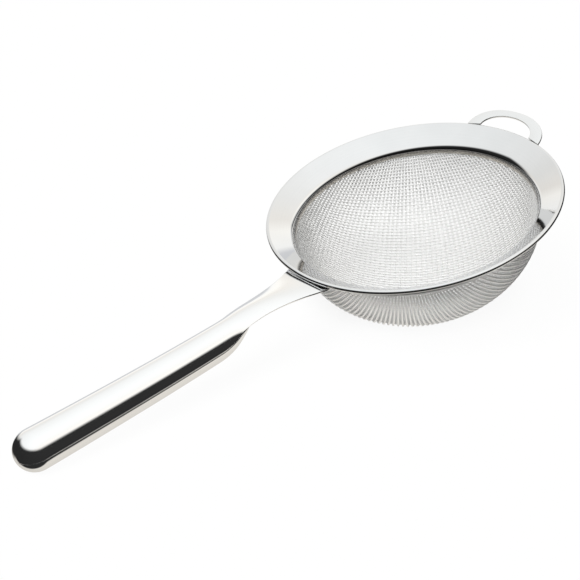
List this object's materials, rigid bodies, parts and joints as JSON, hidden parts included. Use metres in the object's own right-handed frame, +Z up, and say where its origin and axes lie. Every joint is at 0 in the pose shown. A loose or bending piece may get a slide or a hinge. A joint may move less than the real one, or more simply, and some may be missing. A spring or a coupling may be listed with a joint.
{
  "type": "mesh strainer",
  "caption": "Round steel kitchen strainer: woven wire bowl in a wide funnel rim, with a tubular handle and an arched loop opposite for resting on a pot.",
  "frame": {"origin": "on the table, under the centre of the strainer's bounding box, as it lies at rest on the bottom of its bowl and the end of its handle", "axes": "+X along the handle's direction, from the handle's end towards the rest loop; +Y across the bowl; +Z up from the table"},
  "size_m": [0.3266, 0.16, 0.096],
  "materials": {
    "polished_steel": "polished",
    "satin_steel": "satin",
    "wire_cloth": "drawn wire",
    "weld_steel": "as welded"
  },
  "bodies": {
    "root": {"rim_flange": "polished_steel", "mesh_bowl": "wire_cloth", "retaining_ring": "satin_steel", "handle_top_shell": "polished_steel", "handle_bottom_shell": "polished_steel", "rest_loop": "polished_steel", "neck_weld": "weld_steel", "loop_weld_left": "weld_steel", "loop_weld_right": "weld_steel"}
  },
  "joints": []
}
